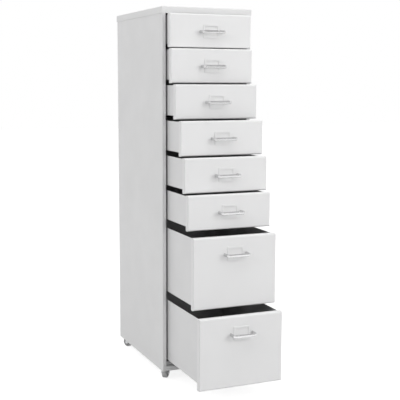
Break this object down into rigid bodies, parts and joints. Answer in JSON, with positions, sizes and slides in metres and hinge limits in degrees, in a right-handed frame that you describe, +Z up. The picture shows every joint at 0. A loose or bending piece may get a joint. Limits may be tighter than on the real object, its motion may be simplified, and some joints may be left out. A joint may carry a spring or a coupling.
{
  "type": "drawer cabinet on castors",
  "caption": "Tall narrow sheet steel drawer cabinet on swivel castors, with shallow drawers over deep ones, bow handles and label frames.",
  "frame": {"origin": "on the floor under the middle of the cabinet's top cover", "axes": "+Z up, the drawers open along -Y, +X to the right of a person who faces the drawers"},
  "size_m": [0.28, 0.6812, 1.09],
  "materials": {
    "shell_paint": "satin powder coat",
    "front_paint": "satin powder coat",
    "tray_paint": "satin powder coat",
    "runner_steel": "zinc plated",
    "screw_steel": "zinc plated",
    "castor_zinc": "zinc plated",
    "fork_steel": "satin",
    "wheel_plastic": "matte",
    "chrome": "polished"
  },
  "bodies": {
    "cabinet": {"side_panel_left": "shell_paint", "side_panel_right": "shell_paint", "back_panel": "shell_paint", "top_cover": "shell_paint", "base_pan": "shell_paint", "drawer_runners": "runner_steel", "cabinet_screws": "screw_steel", "castor_plates": "castor_zinc"},
    "castor_fork_body_front_left": {"castor_fork_front_left": "fork_steel", "castor_axle_front_left": "castor_zinc"},
    "castor_wheel_body_front_left": {"castor_wheel_front_left": "wheel_plastic"},
    "castor_fork_body_front_right": {"castor_fork_front_right": "fork_steel", "castor_axle_front_right": "castor_zinc"},
    "castor_wheel_body_front_right": {"castor_wheel_front_right": "wheel_plastic"},
    "castor_fork_body_rear_left": {"castor_fork_rear_left": "fork_steel", "castor_axle_rear_left": "castor_zinc"},
    "castor_wheel_body_rear_left": {"castor_wheel_rear_left": "wheel_plastic"},
    "castor_fork_body_rear_right": {"castor_fork_rear_right": "fork_steel", "castor_axle_rear_right": "castor_zinc"},
    "castor_wheel_body_rear_right": {"castor_wheel_rear_right": "wheel_plastic"},
    "drawer_1": {"drawer_1_tray": "tray_paint", "drawer_1_front": "front_paint", "drawer_1_handle": "chrome", "drawer_1_label_frame": "front_paint", "drawer_1_screws": "screw_steel"},
    "drawer_2": {"drawer_2_tray": "tray_paint", "drawer_2_front": "front_paint", "drawer_2_handle": "chrome", "drawer_2_label_frame": "front_paint", "drawer_2_screws": "screw_steel"},
    "drawer_3": {"drawer_3_tray": "tray_paint", "drawer_3_front": "front_paint", "drawer_3_handle": "chrome", "drawer_3_label_frame": "front_paint", "drawer_3_screws": "screw_steel"},
    "drawer_4": {"drawer_4_tray": "tray_paint", "drawer_4_front": "front_paint", "drawer_4_handle": "chrome", "drawer_4_label_frame": "front_paint", "drawer_4_screws": "screw_steel"},
    "drawer_5": {"drawer_5_tray": "tray_paint", "drawer_5_front": "front_paint", "drawer_5_handle": "chrome", "drawer_5_label_frame": "front_paint", "drawer_5_screws": "screw_steel"},
    "drawer_6": {"drawer_6_tray": "tray_paint", "drawer_6_front": "front_paint", "drawer_6_handle": "chrome", "drawer_6_label_frame": "front_paint", "drawer_6_screws": "screw_steel"},
    "drawer_7": {"drawer_7_tray": "tray_paint", "drawer_7_front": "front_paint", "drawer_7_handle": "chrome", "drawer_7_label_frame": "front_paint", "drawer_7_screws": "screw_steel"},
    "drawer_8": {"drawer_8_tray": "tray_paint", "drawer_8_front": "front_paint", "drawer_8_handle": "chrome", "drawer_8_label_frame": "front_paint", "drawer_8_screws": "screw_steel"}
  },
  "joints": [
    {"name": "castor_swivel_front_left", "type": "hinge", "parent": "cabinet", "child": "castor_fork_body_front_left", "pos_m": [-0.113, -0.164, 0.05], "axis": [0, 0, 1], "continuous": true},
    {"name": "castor_roll_front_left", "type": "hinge", "parent": "castor_fork_body_front_left", "child": "castor_wheel_body_front_left", "pos_m": [-0.11915, -0.17312, 0.016], "axis": [0.829, -0.5592, 0], "continuous": true},
    {"name": "castor_swivel_front_right", "type": "hinge", "parent": "cabinet", "child": "castor_fork_body_front_right", "pos_m": [0.113, -0.164, 0.05], "axis": [0, 0, 1], "continuous": true},
    {"name": "castor_roll_front_right", "type": "hinge", "parent": "castor_fork_body_front_right", "child": "castor_wheel_body_front_right", "pos_m": [0.11931, -0.17301, 0.016], "axis": [0.8192, 0.5736, 0], "continuous": true},
    {"name": "castor_swivel_rear_left", "type": "hinge", "parent": "cabinet", "child": "castor_fork_body_rear_left", "pos_m": [-0.113, 0.164, 0.05], "axis": [0, 0, 1], "continuous": true},
    {"name": "castor_roll_rear_left", "type": "hinge", "parent": "castor_fork_body_rear_left", "child": "castor_wheel_body_rear_left", "pos_m": [-0.11915, 0.17312, 0.016], "axis": [-0.829, -0.5592, 0], "continuous": true},
    {"name": "castor_swivel_rear_right", "type": "hinge", "parent": "cabinet", "child": "castor_fork_body_rear_right", "pos_m": [0.113, 0.164, 0.05], "axis": [0, 0, 1], "continuous": true},
    {"name": "castor_roll_rear_right", "type": "hinge", "parent": "castor_fork_body_rear_right", "child": "castor_wheel_body_rear_right", "pos_m": [0.11816, 0.17371, 0.016], "axis": [-0.8829, 0.4695, 0], "continuous": true},
    {"name": "drawer_1_slide", "type": "slide", "parent": "cabinet", "child": "drawer_1", "axis": [0, -1, 0], "range_m": [-0.025, 0.275]},
    {"name": "drawer_2_slide", "type": "slide", "parent": "cabinet", "child": "drawer_2", "axis": [0, -1, 0], "range_m": [-0.0355, 0.2645]},
    {"name": "drawer_3_slide", "type": "slide", "parent": "cabinet", "child": "drawer_3", "axis": [0, -1, 0], "range_m": [-0.068, 0.232]},
    {"name": "drawer_4_slide", "type": "slide", "parent": "cabinet", "child": "drawer_4", "axis": [0, -1, 0], "range_m": [-0.1085, 0.1915]},
    {"name": "drawer_5_slide", "type": "slide", "parent": "cabinet", "child": "drawer_5", "axis": [0, -1, 0], "range_m": [-0.136, 0.164]},
    {"name": "drawer_6_slide", "type": "slide", "parent": "cabinet", "child": "drawer_6", "axis": [0, -1, 0], "range_m": [-0.16, 0.14]},
    {"name": "drawer_7_slide", "type": "slide", "parent": "cabinet", "child": "drawer_7", "axis": [0, -1, 0], "range_m": [-0.1985, 0.1015]},
    {"name": "drawer_8_slide", "type": "slide", "parent": "cabinet", "child": "drawer_8", "axis": [0, -1, 0], "range_m": [-0.242, 0.058]}
  ]
}
